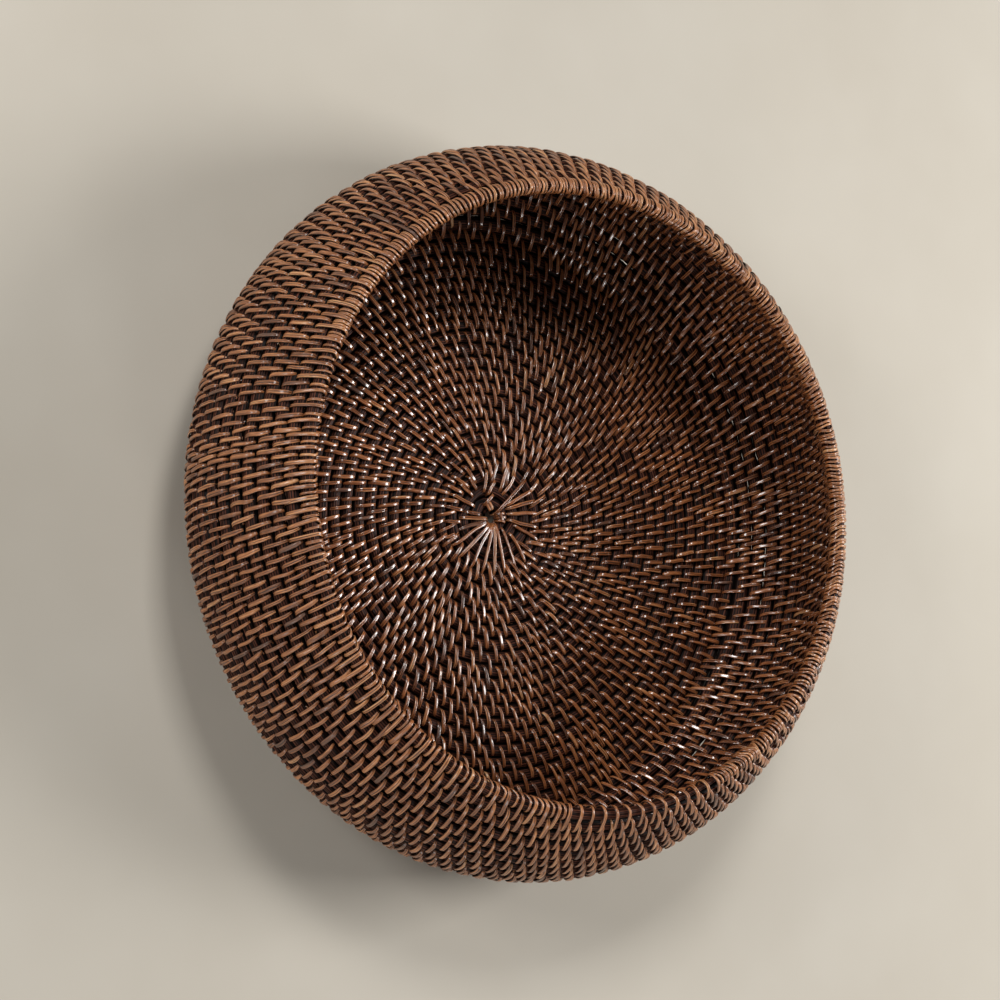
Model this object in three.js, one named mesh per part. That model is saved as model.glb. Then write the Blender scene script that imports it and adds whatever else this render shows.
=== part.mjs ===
// A shallow round bowl coiled from one long bundle of cane. It lies flat, opening upwards:
// +Z is the bowl's axis and the origin is the middle of the underside. All sizes are in mm.
//
// The bundle winds outwards as a flat spiral to make the floor, climbs on to the floor's edge,
// and goes on as the bulging wall, one row on top of the last, to the rim. Each turn of the
// spiral is a piece of its own here, with a thin gap to the rows beside it. The lashing that
// ties the rows together is included in the height of each row's section.
import * as THREE from 'three';

// Driving dimensions
const ROW_HEIGHT = 7.8;         // thickness of the basket's sheet: core and lashing
const FLOOR_ROW_WIDTH = 6.7;    // one row, measured across to its neighbours
const WALL_ROW_WIDTH = 7.1;
const GAP = 0.3;                // clearance between pieces that touch

const HOLE_RADIUS = 2.8;        // the small hole in the middle of the floor
const FLOOR_TURNS = 22;
const FLOOR_START_RADIUS = 7;   // spiral radius where the first floor row begins
const FLOOR_EDGE_RADIUS = 167;  // spiral radius where the last floor row ends

const WALL_TURNS = 15.875;      // the corner row, the wall rows and the rim row
const WALL_LENGTH = 122;        // up the wall's curve, from the floor's edge to the rim
const WALL_SLOPES = [11, 100, 136]; // degrees above level: at the floor, half way up, at the rim

const START_FACET = 6;          // where the spiral starts, in outer facets from the X axis

const RIM_CORE_SCALE = 0.78;    // the rim row is thinner, to leave room for its binding
const RIM_TAPER_TURN = 0.12;    // the last part of the rim row, where it thins out to nothing
const RIM_TIP_SCALE = 0.3;
const BINDING_THICKNESS = 1.1;
const BINDING_START_FACET = 1;  // where the binding begins and ends, in facets of the rim row
const BINDING_END_FACET = 28;
const BINDING_HALF_ANGLE = 118; // degrees of the row's section that it covers, each way

const INNER_TURNS = 6;          // the small turns need fewer facets
const INNER_FACETS = 16;        // facets in a turn
const OUTER_FACETS = 32;

const CANE = { color: 0x6b4430, roughness: 0.5, metalness: 0 };
const INSIDE_CANE = { color: 0x5b3526, roughness: 0.42, metalness: 0 };
const BINDING_CANE = { color: 0x9a6a47, roughness: 0.45, metalness: 0 };

const floorPitch = (FLOOR_EDGE_RADIUS - FLOOR_START_RADIUS) / FLOOR_TURNS;
const wallPitch = WALL_LENGTH / WALL_TURNS;
const floorCentreHeight = ROW_HEIGHT / 2;

const radians = THREE.MathUtils.degToRad;

// The wall's slope is a quadratic through its three stated values, so its curve is smooth.
const [slopeStart, slopeMiddle, slopeEnd] = WALL_SLOPES.map(radians);
const slopeBend = 2 * (slopeStart + slopeEnd - 2 * slopeMiddle);
const slopeRise = slopeEnd - slopeStart - slopeBend;

function wallSlope(length) {
  const t = length / WALL_LENGTH;
  return slopeStart + slopeRise * t + slopeBend * t * t;
}

// The lowest point of the corner row's tilted section clears the top of the floor.
const cornerDrop = (ROW_HEIGHT * Math.cos(slopeStart)) / 2 + (WALL_ROW_WIDTH * Math.sin(slopeStart)) / 4;
const cornerHeight = ROW_HEIGHT + GAP + cornerDrop + 0.1;

// The point of the wall's centre line at a length up its curve, by adding up short steps.
const STEP = 0.25;
const wallPoints = [{ radius: FLOOR_EDGE_RADIUS, height: cornerHeight }];
for (let i = 1; i * STEP <= WALL_LENGTH + wallPitch; i += 1) {
  const slope = wallSlope((i - 0.5) * STEP);
  const last = wallPoints[i - 1];
  wallPoints.push({
    radius: last.radius + STEP * Math.cos(slope),
    height: last.height + STEP * Math.sin(slope),
  });
}

function wallPlace(turns) {
  const length = Math.max(turns, 0) * wallPitch;
  const index = Math.min(Math.floor(length / STEP), wallPoints.length - 2);
  const part = length / STEP - index;
  const [a, b] = [wallPoints[index], wallPoints[index + 1]];
  return {
    radius: a.radius + (b.radius - a.radius) * part,
    height: a.height + (b.height - a.height) * part,
    slope: wallSlope(length),
    scale: 1,
  };
}

function floorPlace(turns) {
  return {
    radius: FLOOR_START_RADIUS + floorPitch * turns,
    height: floorCentreHeight,
    slope: 0,
    scale: 1,
  };
}

// A row's section is a hexagon. Its flat sides are the basket's inside and outside faces, and
// its corners point at the rows next to it. Across is along the basket's sheet; up is inwards.
function hexagon(width, height) {
  return [
    [width / 2, 0],
    [width / 4, height / 2],
    [-width / 4, height / 2],
    [-width / 2, 0],
    [-width / 4, -height / 2],
    [width / 4, -height / 2],
  ];
}

const floorSection = hexagon(FLOOR_ROW_WIDTH, ROW_HEIGHT);
const wallSection = hexagon(WALL_ROW_WIDTH, ROW_HEIGHT);

// Puts a section at each station of a path round the axis and joins the stations by facets.
// A station gives its angle in turns, and the place, slope and size of its section.
function sweep(stations, section) {
  const count = section.length;
  const position = [];
  for (const { turn, radius, height, slope, scale } of stations) {
    const angle = 2 * Math.PI * turn;
    for (const [across, up] of section) {
      const r = radius + scale * (across * Math.cos(slope) - up * Math.sin(slope));
      const z = height + scale * (across * Math.sin(slope) + up * Math.cos(slope));
      position.push(r * Math.cos(angle), r * Math.sin(angle), z);
    }
  }
  const index = [];
  for (let i = 0; i + 1 < stations.length; i += 1) {
    for (let j = 0; j < count; j += 1) {
      const next = (j + 1) % count;
      const [a, b] = [i * count + j, i * count + next];
      const [c, d] = [a + count, b + count];
      index.push(a, d, b, a, c, d);
    }
  }
  const points = section.map(([x, y]) => new THREE.Vector2(x, y));
  const lastRing = (stations.length - 1) * count;
  for (const [a, b, c] of THREE.ShapeUtils.triangulateShape(points, [])) {
    index.push(a, b, c);
    index.push(lastRing + a, lastRing + c, lastRing + b);
  }
  const geometry = new THREE.BufferGeometry();
  geometry.setAttribute('position', new THREE.Float32BufferAttribute(position, 3));
  geometry.setIndex(index);
  geometry.computeVertexNormals();
  return geometry;
}

// Stations at whole facets from one turn count to another, pulled in at both ends by half
// a gap, so that one row ends just short of where the next begins.
function stationsBetween(from, to, facets, place) {
  const stations = [];
  const steps = Math.ceil((to - from) * facets - 1e-9);
  for (let i = 0; i <= steps; i += 1) {
    const turn = Math.min(from + i / facets, to);
    const here = place(turn);
    const pull = GAP / (4 * Math.PI * here.radius);
    const inset = i === 0 ? pull : i === steps ? -pull : 0;
    stations.push({ turn: turn + inset, ...here });
  }
  return stations;
}

const basket = new THREE.Group();

function addPiece(name, geometry, finish) {
  const mesh = new THREE.Mesh(geometry, new THREE.MeshStandardMaterial(finish));
  mesh.name = name;
  basket.add(mesh);
}

const twoDigits = (number) => String(number).padStart(2, '0');

// The ring of lashing round the hole that the first row is tied to
function centreRing() {
  const outer = FLOOR_START_RADIUS - FLOOR_ROW_WIDTH / 2 - GAP;
  const half = floorCentreHeight - 0.9;
  const profile = [
    [HOLE_RADIUS, floorCentreHeight - half * 0.6],
    [HOLE_RADIUS + 0.25, floorCentreHeight - half],
    [outer - 0.1, floorCentreHeight - half],
    [outer, floorCentreHeight],
    [outer - 0.1, floorCentreHeight + half],
    [HOLE_RADIUS + 0.25, floorCentreHeight + half],
    [HOLE_RADIUS, floorCentreHeight + half * 0.6],
    [HOLE_RADIUS, floorCentreHeight - half * 0.6],
  ].map(([x, y]) => new THREE.Vector2(x, y));
  const ring = new THREE.LatheGeometry(profile, INNER_FACETS);
  return ring.rotateX(Math.PI / 2);
}

// The folded strip end beside the hole, lying on the first two rows
function startKnot() {
  const outline = new THREE.Shape();
  outline.moveTo(-7, -1.6);
  outline.lineTo(5.5, -2.3);
  outline.absarc(5.5, 0, 2.3, -Math.PI / 2, Math.PI / 2, false);
  outline.lineTo(-7, 1.6);
  outline.closePath();
  const strip = new THREE.ExtrudeGeometry(outline, {
    depth: 1,
    bevelEnabled: false,
    curveSegments: 6,
  });
  strip.rotateZ(radians(205));
  const away = FLOOR_START_RADIUS + floorPitch * 0.6;
  const direction = radians(215);
  return strip.translate(
    away * Math.cos(direction),
    away * Math.sin(direction),
    ROW_HEIGHT + GAP,
  );
}

addPiece('centre_ring', centreRing(), INSIDE_CANE);
addPiece('start_knot', startKnot(), BINDING_CANE);

for (let row = 1; row <= FLOOR_TURNS; row += 1) {
  const facets = row <= INNER_TURNS ? INNER_FACETS : OUTER_FACETS;
  const stations = stationsBetween(row - 1, row, facets, floorPlace);
  addPiece(`floor_row_${twoDigits(row)}`, sweep(stations, floorSection), INSIDE_CANE);
}

const rimStart = WALL_TURNS - 1;
for (let row = 0; row < rimStart; row += 1) {
  const name = row === 0 ? 'corner_row' : `wall_row_${twoDigits(row)}`;
  const stations = stationsBetween(row, Math.min(row + 1, rimStart), OUTER_FACETS, wallPlace);
  addPiece(name, sweep(stations, wallSection), CANE);
}

// The rim row thins out at its end and settles on to the row below it.
function rimPlace(turn) {
  const place = wallPlace(turn);
  const left = (WALL_TURNS - turn) / RIM_TAPER_TURN;
  const taper = Math.min(1, RIM_TIP_SCALE + (1 - RIM_TIP_SCALE) * left);
  const settle = ((1 - taper) * WALL_ROW_WIDTH) / 2;
  return {
    ...place,
    radius: place.radius - settle * Math.cos(place.slope),
    height: place.height - settle * Math.sin(place.slope),
    scale: taper * RIM_CORE_SCALE,
  };
}

// The binding's section is a band round the rim row, open where that row meets the one below.
function bindingSection() {
  const steps = 8;
  const inner = [];
  const outer = [];
  for (let i = 0; i <= steps; i += 1) {
    const angle = radians(-BINDING_HALF_ANGLE + (2 * BINDING_HALF_ANGLE * i) / steps);
    const reach = (RIM_CORE_SCALE * ROW_HEIGHT) / 2 + GAP * 1.3;
    inner.push([reach * Math.cos(angle), reach * Math.sin(angle)]);
    const full = reach + BINDING_THICKNESS;
    outer.push([full * Math.cos(angle), full * Math.sin(angle)]);
  }
  return [...outer, ...inner.reverse()];
}

const rimStations = stationsBetween(rimStart, WALL_TURNS, OUTER_FACETS, rimPlace);
addPiece('rim_row', sweep(rimStations, wallSection), CANE);

const bindingStations = stationsBetween(
  rimStart + BINDING_START_FACET / OUTER_FACETS,
  rimStart + BINDING_END_FACET / OUTER_FACETS,
  OUTER_FACETS,
  wallPlace,
);
addPiece('rim_binding', sweep(bindingStations, bindingSection()), BINDING_CANE);

basket.rotation.z = (2 * Math.PI * START_FACET) / OUTER_FACETS;

export default basket;
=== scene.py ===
"""A round bowl coiled from cane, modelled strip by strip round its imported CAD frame.

One bundle of cane winds outwards as the flat floor, climbs on to the floor's edge and goes on
as the bulging wall, up to the rim. A strip of split cane lashes each turn to the one before.
Lengths are in millimetres until a mesh is made, and Z is the bowl's axis, opening upwards.
A place along the coil is given in turns from the middle: the floor, then the wall.
"""
import math

import bpy
import numpy as np
from mathutils import Matrix, Vector


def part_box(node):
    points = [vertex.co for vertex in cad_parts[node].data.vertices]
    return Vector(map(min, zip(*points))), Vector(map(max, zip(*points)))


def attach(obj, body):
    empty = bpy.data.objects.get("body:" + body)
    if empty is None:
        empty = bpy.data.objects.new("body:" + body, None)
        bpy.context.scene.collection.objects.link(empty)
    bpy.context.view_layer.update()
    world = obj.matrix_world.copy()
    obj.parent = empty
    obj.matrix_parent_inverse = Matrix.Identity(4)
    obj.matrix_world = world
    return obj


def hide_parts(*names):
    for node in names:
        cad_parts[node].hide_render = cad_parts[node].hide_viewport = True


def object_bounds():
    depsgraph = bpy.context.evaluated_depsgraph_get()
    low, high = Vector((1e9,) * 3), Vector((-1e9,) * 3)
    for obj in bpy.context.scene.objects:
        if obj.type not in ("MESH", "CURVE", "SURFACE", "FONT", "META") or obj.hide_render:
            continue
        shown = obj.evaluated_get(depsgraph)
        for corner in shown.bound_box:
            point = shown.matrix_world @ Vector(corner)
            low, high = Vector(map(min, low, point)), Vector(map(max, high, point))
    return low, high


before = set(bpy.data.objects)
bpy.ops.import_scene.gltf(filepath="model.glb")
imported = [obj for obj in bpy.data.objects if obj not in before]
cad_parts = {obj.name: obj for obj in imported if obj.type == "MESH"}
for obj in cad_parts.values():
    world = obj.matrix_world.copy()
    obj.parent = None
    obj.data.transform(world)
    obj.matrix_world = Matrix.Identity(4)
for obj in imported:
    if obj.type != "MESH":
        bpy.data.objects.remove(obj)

cad_low, cad_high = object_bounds()

MM = 0.001
TAU = 2 * math.pi
rng = np.random.default_rng(41)

# The coil's path, as in the CAD source but for its two heights, which leave room for the strips
FLOOR_TURNS = 22
WALL_TURNS = 15.875
WALL_ROWS = 14              # between the corner row and the rim row
START_RADIUS = 7.0
EDGE_RADIUS = 167.0
START_ANGLE = math.radians(67.5)
WALL_LENGTH = 122.0
WALL_SLOPES = [math.radians(a) for a in (11, 100, 136)]
CORNER_HEIGHT = 12.2
FLOOR_HEIGHT = 4.75
FLOOR_PITCH = (EDGE_RADIUS - START_RADIUS) / FLOOR_TURNS
WALL_PITCH = WALL_LENGTH / WALL_TURNS
LAST_TURN = FLOOR_TURNS + WALL_TURNS
RIM_TURN = LAST_TURN - 1

CORNER_DROP = 1.9           # the corner row settles this far on to the floor
CORNER_PULL = 1.0           # and lies this much further in than its place on the wall's curve
SETTLE_FROM = 0.6           # both fade from this many turns past the floor
SETTLE_TURNS = 3.4          # over this many
CORNER_SPREAD = 1.1         # the floor's last turns are pushed out, by up to this much
SPREAD_TURNS = 3
CLIMB_TURNS = 0.05          # half of the part of a turn in which the coil climbs on to the floor
TAPER_TURNS = 0.12          # the end of the rim, where the coil thins out
TAPER_SCALE = 0.3
TAIL_TURNS = 0.7            # the thin start of the coil round the hole in the middle
TAIL_RADIUS = 5.2
TAIL_SCALE = 0.42

# The bundle and the strips
CORE_OVERLAP = 1.035        # the bundle's width, as a share of the distance between rows
MAX_HALF_WIDTH = 4.5
WALL_SLACK = 0.12           # the most by which a wall's row draws back from its neighbours
SLACK_POWER = 3             # most places on it draw back far less
CORE_HALF_HEIGHT = 3.25
CORE_RODS = 16
POINTS_PER_ROD = 3
CORE_STATION = 4.0          # from one ring of the bundle's points to the next
LEAST_STATIONS = 8
LENGTH_STEPS = 399          # for measuring a piece's length along the coil
ROD_GROOVE = 0.16           # depth of the grooves between rods, of the bundle's radius
ROD_SWELL = 0.05            # how far a rod swells and thins along its length
SWELL_RATES = (2, 9)        # times a turn
TWISTS = [(0.35, 1.7, 0), (0.2, 4.3, 1)]    # of the bundle: radians, waves a turn, phase
OPEN_TURNS = 0.6            # the end of the rim, which has no row beyond it to lean on
CORE_FIBRE_STEP = 3.1       # from one turn's pattern of fibres to the next
ROD_TONE = 0.75             # how much a rod's own tone counts
ROD_DRIFT = 0.35            # how far its tone drifts along the coil
DRIFT_RATE = 9              # radians a turn
DRIFT_STEP = 2.4            # radians from one rod to the next
STRIP_WIDTH = 2.2
STRIP_HEIGHT = 0.7
SPLIT_SHARE = 0.62          # this many of the strips have a dark groove along the middle
SPLIT_DEPTH = 0.26          # of a strip's thickness
SPLIT_FAINTEST = 0.35       # the shallowest groove, as a share of the deepest
FLOOR_REACH = 3.82          # from the bundle's middle to a strip, square to the sheet
WALL_REACH = 3.9

# The wall's curve, by adding up short steps along its quadratic slope
PROFILE_STEP = 0.25
profile_lengths = np.arange(0, WALL_LENGTH + WALL_PITCH, PROFILE_STEP)
slope_bend = 2 * (WALL_SLOPES[0] + WALL_SLOPES[2] - 2 * WALL_SLOPES[1])
slope_rise = WALL_SLOPES[2] - WALL_SLOPES[0] - slope_bend
share_up = (profile_lengths + PROFILE_STEP / 2) / WALL_LENGTH
profile_slopes = WALL_SLOPES[0] + slope_rise * share_up + slope_bend * share_up * share_up
steps_out = np.cumsum(PROFILE_STEP * np.cos(profile_slopes))[:-1]
steps_up = np.cumsum(PROFILE_STEP * np.sin(profile_slopes))[:-1]
profile_radii = EDGE_RADIUS + np.concatenate([[0], steps_out])
profile_heights = CORNER_HEIGHT + np.concatenate([[0], steps_up])


def smooth(x):
    """0 below 0, 1 above 1 and a smooth step between."""
    x = np.clip(x, 0, 1)
    return x * x * (3 - 2 * x)


def coil(turn):
    """Radius, height and thickness of the coil at these turns."""
    turn = np.asarray(turn, float)
    length = np.maximum(turn - FLOOR_TURNS, 0) * WALL_PITCH
    wall_radius = np.interp(length, profile_lengths, profile_radii)
    wall_height = np.interp(length, profile_lengths, profile_heights)
    tail = np.clip(-turn / TAIL_TURNS, 0, 1)
    floor_radius = START_RADIUS + FLOOR_PITCH * turn * (turn > 0)
    floor_radius = floor_radius - (START_RADIUS - TAIL_RADIUS) * tail
    radius = np.where(turn > FLOOR_TURNS, wall_radius, floor_radius)
    climb = smooth((turn - FLOOR_TURNS + CLIMB_TURNS) / (2 * CLIMB_TURNS))
    height = FLOOR_HEIGHT + (wall_height - FLOOR_HEIGHT) * climb
    # The rows each side of the corner lean on each other
    spread = CORNER_SPREAD * smooth((turn - FLOOR_TURNS + SPREAD_TURNS) / SPREAD_TURNS)
    settling = 1 - smooth((turn - FLOOR_TURNS - SETTLE_FROM) / SETTLE_TURNS)
    radius = radius + spread * (1 - climb) - CORNER_PULL * settling * climb
    height = height - CORNER_DROP * climb * settling
    # The rim thins out at its end and comes down on to the row below
    left = (LAST_TURN - turn) / TAPER_TURNS
    taper = np.clip(TAPER_SCALE + (1 - TAPER_SCALE) * left, TAPER_SCALE, 1)
    scale = taper * (1 - (1 - TAIL_SCALE) * tail)
    settle = (1 - taper) * WALL_PITCH / 2
    slope = np.interp(length, profile_lengths, profile_slopes)
    return radius - settle * np.cos(slope), height - settle * np.sin(slope), scale


def sheet_axes(turn):
    """Unit direction from the turn before to this one, as radius and height, and the distance."""
    r1, z1, _ = coil(turn)
    r0, z0, _ = coil(np.asarray(turn, float) - 1)
    gap = np.hypot(r1 - r0, z1 - z0)
    return (r1 - r0) / gap, (z1 - z0) / gap, gap


def angle_of(turn):
    """The coil's angle round the axis at these turns."""
    return TAU * np.asarray(turn, float) + START_ANGLE


axis_low, axis_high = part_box("centre_ring")
AXIS = np.array([(axis_low.x + axis_high.x) / 2, (axis_low.y + axis_high.y) / 2, 0.0])


def make_mesh(name, points, loops, starts, values, material):
    """A smooth mesh from arrays. values gives its point attributes by name."""
    mesh = bpy.data.meshes.new(name)
    mesh.vertices.add(len(points))
    mesh.vertices.foreach_set("co", (points * MM + AXIS).astype(np.float32).ravel())
    mesh.loops.add(len(loops))
    mesh.loops.foreach_set("vertex_index", loops.astype(np.int32))
    mesh.polygons.add(len(starts))
    mesh.polygons.foreach_set("loop_start", starts.astype(np.int32))
    mesh.update(calc_edges=True)
    mesh.polygons.foreach_set("use_smooth", np.ones(len(starts), bool))
    for key, value in values.items():
        if value.ndim == 2:
            layer = mesh.attributes.new(key, "FLOAT_VECTOR", "POINT")
            layer.data.foreach_set("vector", value.astype(np.float32).ravel())
        else:
            layer = mesh.attributes.new(key, "FLOAT", "POINT")
            layer.data.foreach_set("value", value.astype(np.float32))
    mesh.validate()
    mesh.materials.append(material)
    piece = bpy.data.objects.new(name, mesh)
    bpy.context.scene.collection.objects.link(piece)
    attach(piece, "root")
    return piece


def tube_faces(count, rings, around):
    """Loops and loop starts of count capped tubes, each of rings × around points."""
    i = np.arange(rings - 1)
    j = np.arange(around)
    a = i[:, None] * around + j
    b = i[:, None] * around + (j + 1) % around
    quads = np.stack([a, b, b + around, a + around], -1)
    one = np.concatenate([quads.ravel(), j[::-1], (rings - 1) * around + j])
    sizes = np.concatenate([np.full(quads.size // 4, 4), np.full(2, around)])
    loops = (one[None] + (np.arange(count) * rings * around)[:, None]).ravel()
    totals = np.tile(sizes, count)
    return loops, np.concatenate([[0], np.cumsum(totals)[:-1]])


# ---- The bundle ----

rod_phase = rng.uniform(0, TAU, CORE_RODS)
rod_tone = rng.random(CORE_RODS)
rod_rate = rng.uniform(*SWELL_RATES, CORE_RODS)
slack_rng = np.random.default_rng(5)


def core_tube(name, start, end, nodes, material):
    """A closed length of the bundle from one turn to another, standing for CAD nodes."""
    around = CORE_RODS * POINTS_PER_ROD
    radius, _, _ = coil(np.linspace(start, end, LENGTH_STEPS + 1))
    length = np.sum((radius[1:] + radius[:-1]) / 2) * TAU * (end - start) / LENGTH_STEPS
    count = max(LEAST_STATIONS, int(length / CORE_STATION))
    turn = np.linspace(start, end, count)
    r, z, scale = coil(turn)
    r_on, z_on, _ = coil(turn + 0.5)
    r_back, z_back, _ = coil(np.maximum(turn - 0.5, 0))
    across = np.stack([r_on - r_back, z_on - z_back], -1)
    rim_across = np.array([math.cos(WALL_SLOPES[2]), math.sin(WALL_SLOPES[2])])
    across[turn > LAST_TURN - OPEN_TURNS] = rim_across
    across /= np.linalg.norm(across, axis=1)[:, None]
    rod = np.arange(around) // POINTS_PER_ROD
    inside = (np.arange(around) % POINTS_PER_ROD) / POINTS_PER_ROD
    ridge = np.sin(math.pi * inside)
    swell = 1 + ROD_SWELL * np.sin(TAU * turn[:, None] * rod_rate[rod] + rod_phase[rod])
    twist = sum(size * np.sin(TAU * turn * waves + phase) for size, waves, phase in TWISTS)
    phi = TAU * np.arange(around)[None] / around + twist[:, None]
    # The grooves between the rods fade where the bundle presses on its neighbours
    depth = (1 - ROD_GROOVE * (1 - ridge)[None] * np.sin(phi) ** 2) * swell
    onward = np.cos(phi) > 0                # the side towards the next row
    # The shade between two rows. Nothing shades the rim's free side
    groove = np.abs(np.cos(phi))
    groove[onward & (turn > RIM_TURN)[:, None]] = 0
    _, _, next_gap = sheet_axes(np.minimum(turn + 1, LAST_TURN))
    last_gap = np.where(turn < 1, START_RADIUS, sheet_axes(np.maximum(turn, 1))[2])
    half_width = CORE_OVERLAP / 2 * np.where(onward, next_gap[:, None], last_gap[:, None])
    # Pinholes show between the wall's rows
    slack = WALL_SLACK * slack_rng.random((count, 2)) ** SLACK_POWER
    slack = slack * (turn > FLOOR_TURNS + 1)[:, None]
    half_width = half_width * (1 - np.where(onward, slack[:, :1], slack[:, 1:]))
    x = np.minimum(half_width, MAX_HALF_WIDTH) * np.cos(phi) * depth * scale[:, None]
    y = CORE_HALF_HEIGHT * np.sin(phi) * depth * scale[:, None]
    rr = r[:, None] + x * across[:, :1] - y * across[:, 1:]
    zz = z[:, None] + x * across[:, 1:] + y * across[:, :1]
    angle = angle_of(turn)[:, None]
    points = np.stack([rr * np.cos(angle), rr * np.sin(angle), zz], -1).reshape(-1, 3)
    loops, starts = tube_faces(1, count, around)
    run = np.concatenate([[0], np.cumsum(TAU * np.diff(turn) * r[:-1])])
    round_bundle = np.arange(around)[None] * TAU * CORE_HALF_HEIGHT / around
    fibre = [run[:, None], round_bundle, np.array([[start * CORE_FIBRE_STEP]])]
    fibre = np.stack([np.broadcast_to(part, phi.shape) for part in fibre], -1)
    drift = ROD_DRIFT * np.sin(turn[:, None] * DRIFT_RATE + rod * DRIFT_STEP)
    values = {
        "fibre": fibre.reshape(-1, 3),
        "ridge": np.broadcast_to(ridge[None], phi.shape).ravel().copy(),
        "groove": groove.ravel(),
        "tone": (ROD_TONE * rod_tone[rod][None] + drift).ravel(),
    }
    piece = make_mesh(name, points, loops, starts, values, material)
    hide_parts(*nodes)


# ---- The lashing ----

# A strip's section: across its width and up from the coil, round from its crown
SECTION = np.array(
    [[0, 1], [0.42, 0.97], [0.74, 0.84], [0.95, 0.45], [1, -0.15],
     [-1, -0.15], [-0.95, 0.45], [-0.74, 0.84], [-0.42, 0.97]]
)
CROWN = np.array([1, 1, 1, 0.5, 0, 0, 0.5, 1, 1])       # 1 on a strip's face, 0 at its edges
ACROSS = np.array([0, 0.5, 0.9, 1.3, 1.8, -1.8, -1.3, -0.9, -0.5])      # for the fibres' pattern

# Two parts of a strip's rounded path: the angles where each starts and ends, and how many
# points to measure it by. The first is over a face, the second right over the rim.
FACE_PART = (-math.pi / 2 - 0.25, math.pi / 2 + 0.25, 1200)
LOOP_PART = (-math.pi / 2 - 0.1, 1.5 * math.pi + 0.1, 2400)
FACE_HALF_LENGTH = 7.6      # of a usual path, and its half height
FACE_HALF_HEIGHT = 3.9
FACE_POWER = 2.8            # 2 is an ellipse and more is squarer
FACE_STEPS = 15

HOOK_FROM = 0.5             # a strip hooks sideways past this share of the way to its end
WOBBLE_RATE = 2.6           # radians from its middle to its end
WOBBLE_PHASE = 9            # radians for each millimetre of wobble
CROSSING = 1.2              # radians of path in which a strip over the rim changes its slant
END_NARROWING = 0.35
END_THINNING = 0.25
END_POWER = 6               # how near its end a strip narrows and thins
ROLL_SPREAD = 0.09          # radians
FIBRE_RANGE = 100           # millimetres of the fibres' pattern that strips are cut from
FIBRE_STEP = 7


def rounded(angle, power):
    """A rounded box's outline: along and up, each from -1 to 1."""
    s, c = np.sin(angle), np.cos(angle)
    return np.sign(s) * np.abs(s) ** (2 / power), np.sign(c) * np.abs(c) ** (2 / power)


def even_curve(part, half_length, half_height, power, steps):
    """Angles of points spread evenly along a part of a strip's rounded path."""
    fine = np.linspace(*part)
    x, y = rounded(fine, power)
    run = np.hypot(np.diff(x * half_length), np.diff(y * half_height))
    run = np.concatenate([[0], np.cumsum(run)])
    return np.interp(np.linspace(0, run[-1], steps), run, fine)


def outline_normal(sx, sy, power, half, reach, side):
    """Direction square to the rounded outline: along the sheet and up from it, at any length."""
    nx = np.sign(sx) * np.abs(sx) ** (power - 1) / half[:, None]
    ny = side * np.sign(sy) * np.abs(sy) ** (power - 1) / reach[:, None]
    return nx, ny


def square_up(path, normal):
    """Unit normals, made square to their paths, and the unit directions across the strips."""
    tangent = np.gradient(path, axis=1)
    tangent /= np.linalg.norm(tangent, axis=2)[..., None]
    normal = normal - np.sum(normal * tangent, -1)[..., None] * tangent
    normal = normal / np.linalg.norm(normal, axis=2)[..., None]
    return normal, np.cross(tangent, normal)


def strip_paths(turn, low, high, reach, side, lean, curve, power, hook, wobble, outside=None):
    """Paths of strips over one face of the sheet, and what add_section needs beside them.

    turn: where each strip crosses the middle between its two coils. low and high: its ends,
    measured along the sheet from the coil of the turn before. side: 1 inside, -1 outside.
    outside, for strips over the rim: where each crosses the outside face, and its lean there.
    """
    r0, z0, _ = coil(turn - 1)
    dr, dz, _ = sheet_axes(turn)
    middle, half = (low + high) / 2, (high - low) / 2
    sx, sy = rounded(curve, power)
    share = sx[None]
    along = half[:, None] * share
    up = side * reach[:, None] * sy[None]
    x = middle[:, None] + along
    r = r0[:, None] + x * dr[:, None] - up * dz[:, None]
    z = z0[:, None] + x * dz[:, None] + up * dr[:, None]
    bend = np.clip((np.abs(share) - HOOK_FROM) / (1 - HOOK_FROM), 0, 1) ** 2
    wave = np.sin(WOBBLE_RATE * share + wobble[:, None] * WOBBLE_PHASE)
    shift = lean[:, None] * along
    shift = shift + hook[:, None] * np.sign(share) * bend
    shift = shift + wobble[:, None] * (1 - share**2) * wave
    if outside is not None:
        opposite, lean_out = outside
        over = smooth(0.5 + (curve - math.pi / 2) / CROSSING)[None]
        far = (opposite - turn)[:, None] * TAU * r0[:, None] + lean_out[:, None] * along
        shift = shift * (1 - over) + far * over
    angle = angle_of(turn)[:, None] + shift / r
    path = np.stack([r * np.cos(angle), r * np.sin(angle), z], -1)
    nx, ny = outline_normal(sx, sy, power, half, reach, side)
    size = np.hypot(nx, ny)
    nx, ny = nx / size, ny / size
    nr = nx * dr[:, None] - ny * dz[:, None]
    nz = nx * dz[:, None] + ny * dr[:, None]
    normal = np.stack([nr * np.cos(angle), nr * np.sin(angle), nz], -1)
    return path, *square_up(path, normal), share, along


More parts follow.
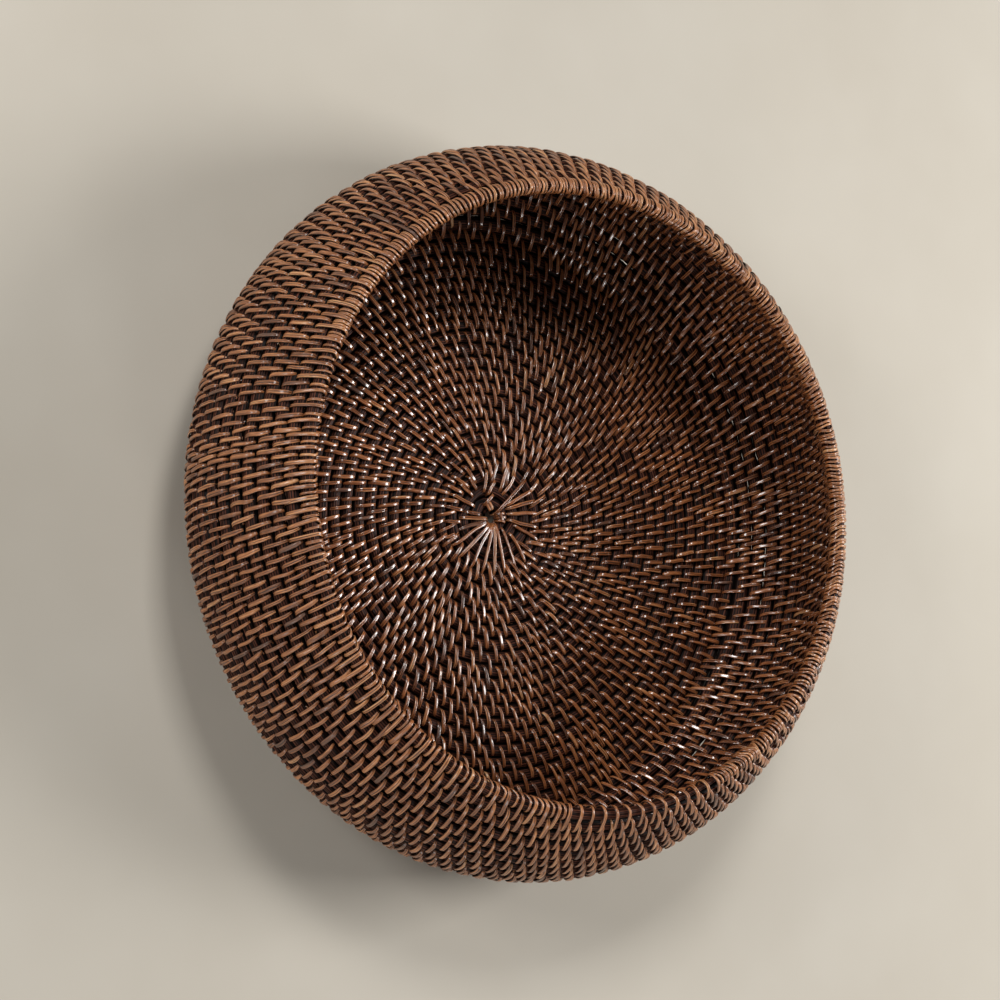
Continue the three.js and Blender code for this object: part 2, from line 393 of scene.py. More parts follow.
def add_section(path, normal, across, share, along, width, height, tone, face):
    """Full strip meshes round their paths, with their attributes. face: 1 inside, 0 outside."""
    count, steps, _ = path.shape
    around = len(SECTION)
    seed = rng.uniform(0, FIBRE_RANGE, count)[:, None, None]
    split = np.where(rng.random(count) < SPLIT_SHARE, rng.uniform(SPLIT_FAINTEST, 1, count), 0)
    roll = rng.normal(0, ROLL_SPREAD, count)[:, None, None]
    b = across * np.cos(roll) + normal * np.sin(roll)
    n = normal * np.cos(roll) - across * np.sin(roll)
    near_end = np.abs(share) ** END_POWER
    w = width[:, None] / 2 * (1 - END_NARROWING * near_end)
    h = height[:, None] * (1 - END_THINNING * near_end)
    rise = np.tile(SECTION[:, 1], (count, 1))
    rise[:, 0] -= SPLIT_DEPTH * split
    points = (
        path[:, :, None]
        + b[:, :, None] * (w[..., None] * SECTION[:, 0])[..., None]
        + n[:, :, None] * (h[..., None] * rise[:, None])[..., None]
    )
    loops, starts = tube_faces(count, steps, around)
    fibre = [along[:, :, None] + seed, ACROSS, seed * FIBRE_STEP]
    values = {
        "tone": tone[:, None, None],
        "face": np.reshape(face, (-1, 1)),
        "crown": CROWN,
        "split": split[:, None, None],
    }
    shape = (count, steps, around)
    values = {key: np.broadcast_to(value, shape).ravel() for key, value in values.items()}
    fibre = np.stack([np.broadcast_to(part, shape).ravel() for part in fibre], -1)
    return points.reshape(-1, 3), loops, starts, {"fibre": fibre, **values}


def join(parts):
    """One set of mesh arrays from several."""
    points = np.concatenate([p[0] for p in parts])
    offsets = np.cumsum([0] + [len(p[0]) for p in parts[:-1]])
    loops = np.concatenate([p[1] + o for p, o in zip(parts, offsets)])
    offsets = np.cumsum([0] + [len(p[1]) for p in parts[:-1]])
    starts = np.concatenate([p[2] + o for p, o in zip(parts, offsets)])
    values = {k: np.concatenate([p[3][k] for p in parts]) for k in parts[0][3]}
    return points, loops, starts, values


FIRST_TURN = 2.25           # the plan of the stitches begins here
FIRST_STITCHES = 25         # in its first turn
FIRST_JITTER = 0.15         # of the distance between them
REGULAR_TURN = 3.2          # the regular stitches begin here
PLAN_PAST = 0.05            # turns of the plan past the rim's end
SPLIT_ARC = 11.9            # a gap between stitches longer than this takes two new ones
SPLIT_ARC_SPREAD = 0.08
ONE_NEW = (0.5,)            # where in the gap the new stitches go
TWO_NEW = (0.27, 0.73)
NEW_SPREAD = 0.032
LEAN_INSIDE = 0.21          # how far a strip moves along the coil for each mm across the sheet
LEAN_OUTSIDE = -0.125


def plan_stitches():
    """Turns at which each stitch crosses, inside and outside, up to the rim's end.

    A stitch goes through midway between two stitches of the turn before.
    """
    jitter = rng.uniform(-FIRST_JITTER, FIRST_JITTER, FIRST_STITCHES)
    first = FIRST_TURN + (np.arange(FIRST_STITCHES) + jitter) / FIRST_STITCHES
    inside = list(first)
    outside = list(first + 0.5 / FIRST_STITCHES)
    i = 0
    while min(inside[-1], outside[-1]) < LAST_TURN + PLAN_PAST:
        gap = inside[i + 1] - inside[i]
        out_gap = outside[i + 1] - outside[i]
        radius = float(coil(min(inside[i] + 1, LAST_TURN))[0])
        per_turn = TAU * radius
        pitch = FLOOR_PITCH if inside[i] < FLOOR_TURNS else WALL_PITCH
        two = gap * TAU * radius > SPLIT_ARC * (1 + SPLIT_ARC_SPREAD * rng.standard_normal())
        for share in TWO_NEW if two else ONE_NEW:
            move = share + NEW_SPREAD * rng.standard_normal()
            inside.append(inside[i] + gap * move + 1 + LEAN_INSIDE * pitch / per_turn)
            move = share + NEW_SPREAD * rng.standard_normal()
            outside.append(outside[i] + out_gap * move + 1 + LEAN_OUTSIDE * pitch / per_turn)
        i += 1
    return np.sort(inside), np.sort(outside)


stitches_inside, stitches_outside = plan_stitches()
face_steps = even_curve(FACE_PART, FACE_HALF_LENGTH, FACE_HALF_HEIGHT, FACE_POWER, FACE_STEPS)

# How strips differ: a spread about the usual value, or the least and the most
END_SHARES = (0.68, 0.82)   # how far past its coils' middles a strip ends, in half rows
LEAN_SPREAD = 0.04
WIDTH_SPREAD = 0.11
WIDTH_LIMITS = (0.7, 1.4)
HEIGHT_LIMITS = (0.85, 1.15)
REACH_SPREAD = 0.08
HOOK_LIMITS = (0.0, 0.9)
WOBBLE_SPREAD = 0.14
TONE = 0.5                  # the usual tone, from dark at 0 to light at 1
TONE_SPREAD = 0.17
ODD_SHARE = 0.03            # this many strips are far lighter
ODD_TONES = (0.85, 1.2)
REACH_FROM = -0.1           # turns past the floor where the wall's reach begins to be used
REACH_TURNS = 0.6


def reach_at(turn):
    """How far strips lie from the coils' middles."""
    on_wall = smooth((turn - FLOOR_TURNS - REACH_FROM) / REACH_TURNS)
    return FLOOR_REACH + (WALL_REACH - FLOOR_REACH) * on_wall


def strip_tones(count, lift=0.0):
    """A random tone for each strip, raised by lift."""
    tone = rng.normal(TONE + lift, TONE_SPREAD, count)
    odd = rng.random(count) < ODD_SHARE
    tone[odd] = rng.uniform(*ODD_TONES, odd.sum())
    return np.clip(tone, 0, ODD_TONES[1])


def face_strips(turn, side):
    """Regular stitches over two coils, on one face."""
    count = len(turn)
    _, _, gap = sheet_axes(turn)
    pitch = np.where(turn > FLOOR_TURNS + 1, WALL_PITCH, FLOOR_PITCH)
    low = -pitch / 2 * rng.uniform(*END_SHARES, count)
    high = gap + pitch / 2 * rng.uniform(*END_SHARES, count)
    lean = (LEAN_INSIDE if side > 0 else LEAN_OUTSIDE) + rng.normal(0, LEAN_SPREAD, count)
    width = STRIP_WIDTH * np.clip(rng.normal(1, WIDTH_SPREAD, count), *WIDTH_LIMITS)
    reach = reach_at(turn) + rng.normal(0, REACH_SPREAD, count)
    hook = side * rng.uniform(*HOOK_LIMITS, count)
    wobble = rng.normal(0, WOBBLE_SPREAD, count)
    path = strip_paths(turn, low, high, reach, side, lean, face_steps, FACE_POWER, hook, wobble)
    height = STRIP_HEIGHT * rng.uniform(*HEIGHT_LIMITS, count)
    return add_section(*path, width, height, strip_tones(count), (side + 1) / 2)


def make_lashing(name, start, end, material):
    """The stitches that tie this length of the coil to the turn before."""
    parts = []
    for stitches, side in ((stitches_inside, 1), (stitches_outside, -1)):
        chosen = stitches[(stitches >= start) & (stitches < end)]
        parts.append(face_strips(chosen, side))
    piece = make_mesh(name, *join(parts), material)


# ---- The rim ----

DENSE_TO = RIM_TURN + 0.575         # the rim is bound closely as far as this
BOUND_TO = RIM_TURN + 0.875         # and then less closely, up to this
TIP_FROM = LAST_TURN - 0.035        # its thin tip is bound again
TIP_MARGIN = 0.003                  # turns without a long stitch at the very end
RIM_LIFT = 0.25                     # the strips over the rim are this much lighter
RIM_LEAST = 0.25                    # the share of the rim's height left where its row is thin
RIM_END_SHARE = 0.8                 # the ends of strips over the rim keep more of their width
RIM_REACH_SPREAD = 0.05
RIM_HEIGHT_LIMITS = (0.85, 1.1)
EVEN_OVER = 2                       # stitches on each side whose distances are averaged
COMES_OUT = 0.35                    # where a stitch comes out, as a share of their distance
OFFSET_WEIGHTS = np.array([1, 2, 3, 4, 3, 2, 1]) / 16
OFFSET_JITTER = 0.3

LONG_STEPS = 40
LONG_SINK = 0.1                     # the strips over the rim lie this much closer to the bundle
LONG_SPREAD = 0.1
LONG_LIMITS = (0.75, 1.3)
LONG_DENSE_WIDTH = 0.82             # their widths, where the rim is bound closely
LONG_WIDTH = 0.95                   # and where it is not

SHORT_STEPS = 26
SHORT_SINK = 0.25
SHORT_TOP = 0.1                     # how far the short ones' tops lie below the long ones'
SHORT_HALF = 3.8                    # half the length and height of a short strip's path
SHORT_LOW = 3.75                    # how far down from the rim row's middle it goes
SHORT_SPACING_POWER = 2.0
SHORT_POWER = 2.15
SHORT_WIDTH = 0.68
SHORT_SPREAD = 0.08
SHORT_LIMITS = (0.5, 0.9)
SHORT_DENSE = (0.35, 0.66)          # where they go between two long ones, bound closely
SHORT_SPARSE = (0.5,)               # and less closely
SHORT_JITTER = 0.03


def loop_strips(turn, opposite, low, high, reach, curve, power, width):
    """Strips that go right over the rim. opposite: where each crosses the outside face."""
    count = len(turn)
    lean_in = LEAN_INSIDE + rng.normal(0, LEAN_SPREAD, count)
    lean_out = LEAN_OUTSIDE + rng.normal(0, LEAN_SPREAD, count)
    flat = np.zeros(count)
    path, normal, across, share, along = strip_paths(
        turn, low, high, reach, 1, lean_in, curve, power, flat, flat,
        outside=(opposite, lean_out),
    )
    height = STRIP_HEIGHT * rng.uniform(*RIM_HEIGHT_LIMITS, count)
    inside = np.clip(0.5 + 1.5 * np.cos(curve), 0, 1)
    share = share * RIM_END_SHARE
    tones = strip_tones(count, RIM_LIFT)
    return add_section(path, normal, across, share, along, width, height, tones, inside)


def evened(values, spread):
    """The values with their steps averaged over their neighbours."""
    steps = np.diff(values)
    padded = np.pad(steps, spread, mode="edge")
    window = np.ones(2 * spread + 1) / (2 * spread + 1)
    return values[0] + np.concatenate([[0], np.cumsum(np.convolve(padded, window, "valid"))])


def rim_stitches():
    """Turns of the rim's long stitches, inside and outside."""
    on_rim = (stitches_inside >= RIM_TURN) & (stitches_inside < LAST_TURN - TIP_MARGIN)
    inside = evened(stitches_inside[on_rim], EVEN_OVER)
    radius = float(coil(RIM_TURN + 0.5)[0])
    wanted = inside + COMES_OUT * np.gradient(inside)
    nearest = np.abs(stitches_outside[None] - wanted[:, None]).argmin(1)
    offset = np.pad(stitches_outside[nearest] - inside, len(OFFSET_WEIGHTS) // 2, mode="edge")
    offset = np.convolve(offset, OFFSET_WEIGHTS, "valid")
    jitter = rng.uniform(-OFFSET_JITTER, OFFSET_JITTER, len(inside)) / (TAU * radius)
    return inside, inside + offset + jitter


def rim_extent(turn):
    """From the coil of the turn before: the distance to the rim row, and to the rim's top."""
    _, _, gap = sheet_axes(turn)
    _, _, scale = coil(turn)
    return gap, gap + WALL_PITCH / 2 * (RIM_LEAST + (1 - RIM_LEAST) * scale)


def wrap_turns(inside, opposite):
    """Turns of the short strips that go between the long ones, inside and outside."""
    ends = np.array([RIM_TURN, LAST_TURN])
    ends_across = ends + (opposite - inside)[[0, -1]]
    inside = np.concatenate([ends[:1], inside, ends[1:]])
    opposite = np.concatenate([ends_across[:1], opposite, ends_across[1:]])
    turns, across = [], []
    for i in range(len(inside) - 1):
        if BOUND_TO < inside[i] < TIP_FROM:
            continue
        dense = inside[i] < DENSE_TO or inside[i] > TIP_FROM
        for share in SHORT_DENSE if dense else SHORT_SPARSE:
            share = share + SHORT_JITTER * rng.standard_normal()
            turns.append(inside[i] + share * (inside[i + 1] - inside[i]))
            across.append(opposite[i] + share * (opposite[i + 1] - opposite[i]))
    return np.array(turns), np.array(across)


def make_rim(material):
    """The long strips that tie the rim row on, and the short wraps between them."""
    inside, opposite = rim_stitches()
    _, top = rim_extent(inside)
    count = len(inside)
    low = np.full(count, -WALL_PITCH / 2)
    reach = WALL_REACH - LONG_SINK + rng.normal(0, RIM_REACH_SPREAD, count)
    width = STRIP_WIDTH * np.clip(rng.normal(1, LONG_SPREAD, count), *LONG_LIMITS)
    width = width * np.where(inside < DENSE_TO, LONG_DENSE_WIDTH, LONG_WIDTH)
    curve = even_curve(LOOP_PART, FACE_HALF_LENGTH, FACE_HALF_HEIGHT, FACE_POWER, LONG_STEPS)
    strips = loop_strips(inside, opposite, low, top, reach, curve, FACE_POWER, width)
    piece = make_mesh("lashing_rim", *strips, material)

    turns, across = wrap_turns(inside, opposite)
    gap, top = rim_extent(turns)
    count = len(turns)
    curve = even_curve(LOOP_PART, SHORT_HALF, SHORT_HALF, SHORT_SPACING_POWER, SHORT_STEPS)
    width = STRIP_WIDTH * np.clip(rng.normal(SHORT_WIDTH, SHORT_SPREAD, count), *SHORT_LIMITS)
    reach = WALL_REACH - SHORT_SINK + rng.normal(0, RIM_REACH_SPREAD, count)
    low, high = gap - SHORT_LOW, top - SHORT_TOP
    strips = loop_strips(turns, across, low, high, reach, curve, SHORT_POWER, width)
    piece = make_mesh("rim_wraps", *strips, material)
    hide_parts("rim_binding")


# ---- The middle ----

# Long strips round the hole: the angle and radius of the outer end, then of the inner end
CENTRE_STRIPS = [
    (-85, 23, -82, 3), (-72, 31, -64, 3), (-58, 32, -40, 3), (-41, 32, -25, 3),
    (-27, 32, -11, 3), (-13, 32.5, 9, 3), (0, 31.5, 23, 3), (14, 31.5, 38, 7.5),
    (28, 32, 41, 13), (41, 32, 37, 19), (55, 33, 64, 14), (68, 31, 75, 11),
    (84, 31, 92, 11), (98, 31, 107, 11.5), (109, 32.5, 117, 11.5), (122, 33, 129, 3),
    (135, 31, 140, 15), (147, 34, 148, 16), (159, 33.5, 167, 20), (160, 22, 179, 13.5),
    (173, 27.5, 187, 15.5), (200, 27.5, 199, 18.5), (214, 28, 214, 17), (231, 29, 228, 12.5),
    (246, 30, 246, 19), (247, 18, 243, 7.5), (258, 20.5, 262, 3), (262, 30, 264, 20.5),
    (277, 34, 279, 26),
]
CENTRE_HALF_LENGTH = 13     # of a usual path among them
CENTRE_POWER = 4.5
CENTRE_STEPS = 22
CENTRE_RISES = (-0.05, 0.2)
CENTRE_WIDTHS = (0.88, 1.08)
CENTRE_HEIGHTS = (0.9, 1.1)
CENTRE_BEND = 0.25
SWAY_RATE = 2.2             # as WOBBLE_RATE and WOBBLE_PHASE
SWAY_PHASE = 7

# The knot's strips, in the same way, and the one folded flat over them
KNOT_STRIPS = [
    (162, 14, 207, 9), (60, 7.5, 128, 5), (64, 8.8, 58, 3.4), (82, 9.4, 84, 3.4), (99, 9, 106, 3.4),
]
KNOT_POWER = 3.0
KNOT_WIDTHS = [2.0, 2.4, 1.6, 1.6, 1.6]
KNOT_RISES = [0.8, 0.2, 0, 0.05, 0]
KNOT_HEIGHT = 0.6
KNOT_BENDS = (0.1, 0.35)
FOLD_STRIP = (186, 9.5, 176, 4.6)
FOLD_POWER = 6.0
FOLD_WIDTH = 3.9
FOLD_RISE = 0.1
FOLD_HEIGHT = 0.5


def plan_points(rows):
    """Outer and inner ends, seen from above, of strips listed by angle and radius."""
    rows = np.array(rows, float)
    ends = []
    for angle, radius in ((rows[:, 0], rows[:, 1]), (rows[:, 2], rows[:, 3])):
        angle = np.radians(angle)
        ends.append(np.stack([radius * np.cos(angle), radius * np.sin(angle)], -1))
    return ends


def flat_strips(rows, side, power, reach, width, height, bend):
    """Strips that lie across the floor, listed by angle and radius."""
    outer, inner = plan_points(rows)
    half = np.linalg.norm(outer - inner, axis=1) / 2
    direction = ((outer - inner) / (2 * half[:, None]))[:, None]
    beside = np.stack([-direction[..., 1], direction[..., 0]], -1)
    middle = ((outer + inner) / 2)[:, None]
    curve = even_curve(FACE_PART, CENTRE_HALF_LENGTH, FACE_HALF_HEIGHT, power, CENTRE_STEPS)
    sx, sy = rounded(curve, power)
    share = sx[None]
    along = half[:, None] * share
    sway = bend[:, None] * np.sin(SWAY_RATE * share + bend[:, None] * SWAY_PHASE) * (1 - share**2)
    plan = middle + direction * along[..., None] + beside * sway[..., None]
    z = FLOOR_HEIGHT + side * reach[:, None] * sy[None]
    path = np.concatenate([plan, z[..., None]], -1)
    nx, ny = outline_normal(sx, sy, power, half, reach, side)
    normal = np.concatenate([direction * nx[..., None], ny[..., None]], -1)
    frames = square_up(path, normal)
    tones = strip_tones(len(rows))
    return add_section(path, *frames, share, along, width, height, tones, (side + 1) / 2)


def make_centre(material):
    """The long strips round the hole, on both faces, and the knot beside it."""
    count = len(CENTRE_STRIPS)
    parts = []
    for side in (1, -1):
        reach = FLOOR_REACH + rng.uniform(*CENTRE_RISES, count)
        width = STRIP_WIDTH * rng.uniform(*CENTRE_WIDTHS, count)
        height = STRIP_HEIGHT * rng.uniform(*CENTRE_HEIGHTS, count)
        bend = rng.normal(0, CENTRE_BEND, count)
        parts.append(flat_strips(CENTRE_STRIPS, side, CENTRE_POWER, reach, width, height, bend))
    piece = make_mesh("lashing_centre", *join(parts), material)

    count = len(KNOT_STRIPS)
    reach = FLOOR_REACH + np.array(KNOT_RISES)
    width, height = np.array(KNOT_WIDTHS), np.full(count, KNOT_HEIGHT)
    bend = rng.uniform(*KNOT_BENDS, count)
    knot = flat_strips(KNOT_STRIPS, 1, KNOT_POWER, reach, width, height, bend)
    reach, width = np.array([FLOOR_REACH + FOLD_RISE]), np.array([FOLD_WIDTH])
    height, bend = np.array([FOLD_HEIGHT]), np.zeros(1)
    fold = flat_strips([FOLD_STRIP], 1, FOLD_POWER, reach, width, height, bend)
    piece = make_mesh("start_knot_strips", *join([knot, fold]), material)
    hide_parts("start_knot")


# ---- Materials ----

class Nodes:
    """Short calls for building a node tree."""

    def __init__(self, name):
        self.material = bpy.data.materials.new(name)
        self.material.use_nodes = True
        self.tree = self.material.node_tree
        self.shader = self.tree.nodes["Principled BSDF"]

    def add(self, kind, inputs=(), **settings):
        """A new node. inputs: what goes into its sockets, by their names or numbers."""
        node = self.tree.nodes.new(kind)
        for key, value in settings.items():
            setattr(node, key, value)
        for key, value in dict(inputs).items():
            self.put(node.inputs[key], value)
        return node

    def put(self, socket, value):
        """Links another node's output to a socket, or sets the socket's own value."""
        if isinstance(value, bpy.types.NodeSocket):
            self.tree.links.new(value, socket)
        else:
            socket.default_value = value

    def attribute(self, name, output="Fac"):
        return self.add("ShaderNodeAttribute", attribute_name=name).outputs[output]

    def math(self, operation, *values):
        return self.add("ShaderNodeMath", enumerate(values), operation=operation).outputs[0]

    def spread(self, value, low, high, to_low=0.0, to_high=1.0):
        """The value, mapped from one range to another and kept inside it."""
        inputs = {"Value": value, "From Min": low, "From Max": high, "To Min": to_low, "To Max": to_high}
        return self.add("ShaderNodeMapRange", inputs).outputs[0]

    def noise(self, vector, stretch, detail):
        """Noise, with stretch giving how fast it changes along each axis."""
        scaled = self.add("ShaderNodeVectorMath", {0: vector, 1: stretch}, operation="MULTIPLY").outputs[0]
        inputs = {"Vector": scaled, "Scale": 1.0, "Detail": detail, "Roughness": 0.6}
        return self.add("ShaderNodeTexNoise", inputs).outputs["Fac"]

    def mix(self, share, a, b):
        """A colour between a and b. The numbers are the node's sockets for colours."""
        return self.add("ShaderNodeMix", {0: share, 6: a, 7: b}, data_type="RGBA").outputs[2]

    def bump(self, height, distance, strength):
        inputs = {"Height": height, "Distance": distance, "Strength": strength}
        return self.add("ShaderNodeBump", inputs).outputs[0]


def srgb(r, g, b):
    """A linear colour from 0-255 sRGB."""
    linear = [((c / 255 + 0.055) / 1.055) ** 2.4 if c > 10 else c / 255 / 12.92 for c in (r, g, b)]
    return (*linear, 1.0)


# How fast each pattern changes along a strip or rod, across it, and from one to the next
STREAKS = (0.07, 1.9, 1.0)
FINE_LINES = (0.4, 8.0, 1.0)
BLOTCHES = (0.12, 0.25, 1.0)
GROOVE_WANDER = (0.2, 0.0, 1.0)
CORE_STREAKS = (0.07, 1.6, 1.0)

# The lashing's colours
DARK_OUTSIDE = srgb(74, 37, 18)
DARK_INSIDE = srgb(76, 37, 19)
LIGHT_OUTSIDE = srgb(202, 128, 75)
LIGHT_INSIDE = srgb(199, 121, 70)
PALEST = srgb(226, 176, 122)
GREYISH = srgb(80, 62, 54)
BLOTCHED = srgb(70, 34, 19)
LINED = srgb(44, 24, 14)
GROOVE = srgb(34, 16, 8)
# Painted shade, almost black, at each strip's edges where it meets the bundle
STRIP_EDGE_SHADE = srgb(12, 6, 3)
COAT_ROUGHNESS = 0.16
COAT_IOR = 1.65
GRAIN_HEIGHT = 0.0003       # metres
GRAIN_STRENGTH = 0.9

# The bundle's colours
CORE_DARK = srgb(16, 8, 6)
CORE_LIGHT = srgb(118, 68, 50)
# Painted shade, almost black, in the grooves between the rods
CORE_ROD_SHADE = srgb(6, 3, 2)
# Painted shade, almost black, on the sides where one row meets the next
CORE_ROW_SHADE = srgb(4, 2, 1)


def lashing_material():
    """Split cane with streaks along it, a groove in some strips, and lacquer, most inside."""
    n = Nodes("lashing_cane")
    fibre = n.attribute("fibre", "Vector")
    tone = n.attribute("tone")
    inner = n.attribute("face")
    streak = n.noise(fibre, STREAKS, 3.0)
    fine = n.noise(fibre, FINE_LINES, 3.0)
    # The groove wanders a little either side of the strip's middle
    across = n.add("ShaderNodeSeparateXYZ", {0: fibre}).outputs[1]
    wander = n.spread(n.noise(fibre, GROOVE_WANDER, 1.0), 0.3, 0.7, -0.15, 0.15)
    wander = n.math("ADD", across, wander)
    line = n.spread(n.math("ABSOLUTE", wander), 0.08, 0.3, 1.0, 0.0)
    line = n.math("MULTIPLY", line, n.attribute("split"))
    blotch = n.noise(fibre, BLOTCHES, 2.0)
    crown = n.attribute("crown")
    # The streaks and the strip's own tone choose the colour, the marks darken it, and painted shade
    # darkens its edges
    dark = n.mix(inner, DARK_OUTSIDE, DARK_INSIDE)
    light = n.mix(inner, LIGHT_OUTSIDE, LIGHT_INSIDE)
    level = n.math("MULTIPLY_ADD", n.spread(streak, 0.39, 0.6), 0.65, n.math("MULTIPLY", tone, 0.45))
    colour = n.mix(level, dark, light)
    colour = n.mix(n.spread(level, 0.78, 1.15, 0.0, 0.85), colour, PALEST)
    colour = n.mix(n.spread(tone, 0.14, 0.3, 0.6, 0.0), colour, GREYISH)
    colour = n.mix(n.spread(blotch, 0.52, 0.72, 0, 0.45), colour, BLOTCHED)
    colour = n.mix(n.spread(fine, 0.56, 0.75, 0, 0.45), colour, LINED)
    colour = n.mix(n.math("MULTIPLY", line, 0.9), colour, GROOVE)
    # Painted shade at the strips' edges
    colour = n.mix(n.spread(crown, 0.2, 1.0, 0.95, 0.0), colour, STRIP_EDGE_SHADE)
    n.put(n.shader.inputs["Base Color"], colour)
    # Smoother inside the bowl, and rough at the strips' edges
    rough = n.math("SUBTRACT", n.spread(streak, 0.3, 0.7, 0.36, 0.5), n.math("MULTIPLY", inner, 0.18))
    rough = n.math("ADD", rough, n.spread(crown, 0.2, 0.8, 0.4, 0.0))
    n.put(n.shader.inputs["Roughness"], rough)
    n.shader.inputs["Specular IOR Level"].default_value = 0.65
    n.put(n.shader.inputs["Coat Weight"], n.spread(inner, 0, 1, 0.3, 1.0))
    n.shader.inputs["Coat Roughness"].default_value = COAT_ROUGHNESS
    n.shader.inputs["Coat IOR"].default_value = COAT_IOR
    height = n.math("ADD", n.math("MULTIPLY", streak, 0.7), n.math("MULTIPLY", fine, 0.2))
    height = n.math("SUBTRACT", height, n.math("MULTIPLY", line, 0.6))
    n.put(n.shader.inputs["Normal"], n.bump(height, GRAIN_HEIGHT, GRAIN_STRENGTH))
    return n.material


def core_material():
    """The bundle's rods, with painted shade, almost black, in the grooves between them and where one row
    meets the next.
    """
    n = Nodes("core_cane")
    fibre = n.attribute("fibre", "Vector")
    ridge = n.attribute("ridge")
    groove = n.attribute("groove")
    tone = n.attribute("tone")
    streak = n.noise(fibre, CORE_STREAKS, 4.0)
    level = n.math("MULTIPLY_ADD", n.spread(streak, 0.4, 0.64), 0.5, n.math("MULTIPLY", tone, 0.6))
    colour = n.mix(level, CORE_DARK, CORE_LIGHT)
    # Painted shade in the grooves between the rods, and on the sides where the rows meet
    colour = n.mix(n.spread(ridge, 0.3, 0.85, 0.96, 0.0), colour, CORE_ROD_SHADE)
    colour = n.mix(n.spread(groove, 0.6, 0.84, 0.0, 0.97), colour, CORE_ROW_SHADE)
    n.put(n.shader.inputs["Base Color"], colour)
    n.shader.inputs["Roughness"].default_value = 0.5
    n.shader.inputs["Specular IOR Level"].default_value = 0.12
    return n.material


lashing_cane = lashing_material()
core_cane = core_material()

# ---- The object ----

core_tube("core_start", -TAIL_TURNS, 0, ["centre_ring"], core_cane)
for row in range(1, FLOOR_TURNS + 1):
    core_tube(f"core_floor_{row:02d}", row - 1, row, [f"floor_row_{row:02d}"], core_cane)
    if row > REGULAR_TURN:
        make_lashing(f"lashing_floor_{row:02d}", max(row - 1, REGULAR_TURN), row, lashing_cane)
core_tube("core_corner", FLOOR_TURNS, FLOOR_TURNS + 1, ["corner_row"], core_cane)
make_lashing("lashing_corner", FLOOR_TURNS, FLOOR_TURNS + 1, lashing_cane)
for row in range(1, WALL_ROWS + 1):
    start = FLOOR_TURNS + row
    end = min(start + 1, RIM_TURN)
    core_tube(f"core_wall_{row:02d}", start, end, [f"wall_row_{row:02d}"], core_cane)
    make_lashing(f"lashing_wall_{row:02d}", start, end, lashing_cane)
core_tube("core_rim", RIM_TURN, LAST_TURN, ["rim_row"], core_cane)
make_rim(lashing_cane)
make_centre(lashing_cane)

# ---- The floor, the light and the camera ----

BACKDROP = (0.56, 0.515, 0.44, 1.0)
PLASTER_DARK = srgb(194, 186, 172)
PLASTER_LIGHT = srgb(202, 195, 182)
PLASTER_PATCHES = (4, 4, 4)
FLOOR_SIZE = 30             # metres
GLOW_FROM = 0.6             # metres from the bowl's middle
GLOW_TO = 2.0

CAMERA_PLACE = Vector((-9.06, -642.8, 1040.8))
CAMERA_RIGHT = Vector((0.2221, 0.8251, 0.5196))
CAMERA_UP = Vector((-0.9750, 0.1880, 0.1184))
CAMERA_LOOK = Vector((0, 0.5329, -0.8462))
CAMERA_LENS = 78.3
SENSOR_WIDTH = 36

LAMP_TARGET = Vector((0, 0, 0.05))
LAMP_DISTANCE = 1.6
# Each lamp's name, degrees round from the X axis and up, metres wide and tall, and watts
LAMPS = [
    ("key", 240, 30, 0.45, 0.45, 8.5),
    ("top", 182, 55, 0.4, 0.4, 11),
    ("side", 76, 33, 0.6, 0.7, 22),
    ("low", 350, 22, 0.4, 0.4, 4.3),
    ("left", 300, 15, 0.4, 0.4, 3.2),
]
FILL_COLOUR = (0.95, 0.96, 1, 1)
FILL_STRENGTH = 0.05


def floor_material():
    """Pale plaster. Far from the bowl it glows a little, so that it meets the backdrop unseen."""
    n = Nodes("pale_floor")
    place = n.add("ShaderNodeNewGeometry").outputs["Position"]
    patch = n.noise(place, PLASTER_PATCHES, 4.0)
    colour = n.mix(n.spread(patch, 0.3, 0.7), PLASTER_DARK, PLASTER_LIGHT)
    n.put(n.shader.inputs["Base Color"], colour)
    n.shader.inputs["Roughness"].default_value = 0.8
    n.shader.inputs["Specular IOR Level"].default_value = 0.1
    away = n.add("ShaderNodeVectorMath", {0: place}, operation="LENGTH").outputs["Value"]
    reach = {"Value": away, "From Min": GLOW_FROM, "From Max": GLOW_TO}
    glow = n.add("ShaderNodeMapRange", reach, interpolation_type="SMOOTHSTEP")
    n.put(n.shader.inputs["Emission Strength"], glow.outputs[0])
    n.shader.inputs["Emission Color"].default_value = BACKDROP
    return n.material


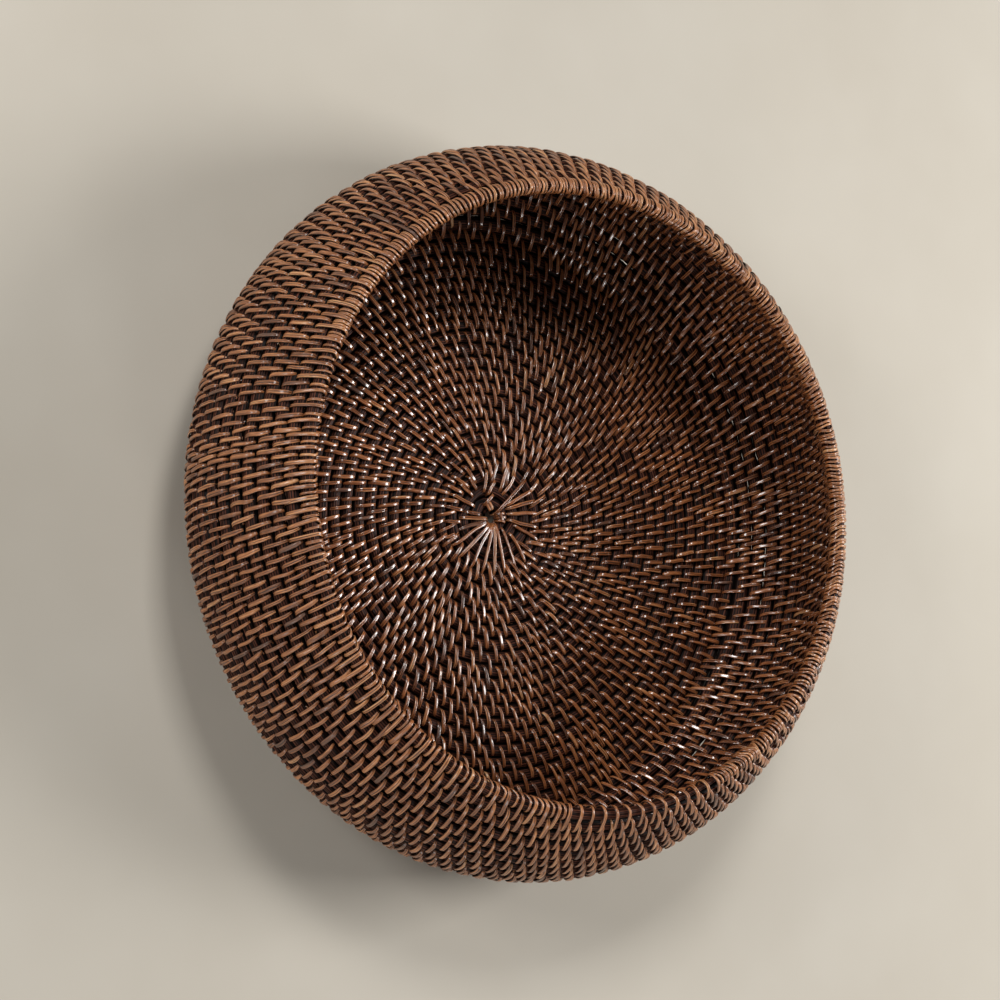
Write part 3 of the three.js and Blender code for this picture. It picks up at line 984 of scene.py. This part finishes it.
bpy.ops.mesh.primitive_plane_add(size=FLOOR_SIZE, location=(0, 0, cad_low.z))
ground = bpy.context.object
ground.name = "pale_floor"
ground.data.materials.append(floor_material())

camera_data = bpy.data.cameras.new("camera")
camera_data.lens = CAMERA_LENS
camera_data.sensor_width = SENSOR_WIDTH
camera_data.clip_start = 0.05
camera_data.clip_end = 50
camera = bpy.data.objects.new("camera", camera_data)
bpy.context.scene.collection.objects.link(camera)
turned = Matrix((CAMERA_RIGHT, CAMERA_UP, -CAMERA_LOOK)).transposed().to_4x4()
camera.matrix_world = Matrix.Translation(CAMERA_PLACE * MM) @ turned
bpy.context.scene.camera = camera


def softbox(name, azimuth, elevation, width, tall, power):
    """A soft light, facing the middle of the bowl from this direction."""
    azimuth, elevation = math.radians(azimuth), math.radians(elevation)
    level = math.cos(elevation)
    away = Vector((math.cos(azimuth) * level, math.sin(azimuth) * level, math.sin(elevation)))
    light = bpy.data.lights.new(name, "AREA")
    light.shape = "RECTANGLE"
    light.size = width
    light.size_y = tall
    light.energy = power
    lamp = bpy.data.objects.new(name, light)
    lamp.location = LAMP_TARGET + away * LAMP_DISTANCE
    lamp.rotation_mode = "QUATERNION"
    lamp.rotation_quaternion = (-away).to_track_quat("-Z", "Y")
    bpy.context.scene.collection.objects.link(lamp)


for lamp in LAMPS:
    softbox(*lamp)

# A faint light from all round, and a plain backdrop that only the camera sees
world = bpy.data.worlds.new("studio")
world.use_nodes = True
sky = world.node_tree
fill = sky.nodes["Background"]
fill.inputs["Color"].default_value = FILL_COLOUR
fill.inputs["Strength"].default_value = FILL_STRENGTH
backdrop = sky.nodes.new("ShaderNodeBackground")
backdrop.inputs["Color"].default_value = BACKDROP
seen = sky.nodes.new("ShaderNodeMixShader")
sky.links.new(sky.nodes.new("ShaderNodeLightPath").outputs["Is Camera Ray"], seen.inputs[0])
sky.links.new(fill.outputs[0], seen.inputs[1])
sky.links.new(backdrop.outputs[0], seen.inputs[2])
sky.links.new(seen.outputs[0], sky.nodes["World Output"].inputs["Surface"])
bpy.context.scene.world = world
bpy.context.scene.view_settings.view_transform = "Standard"
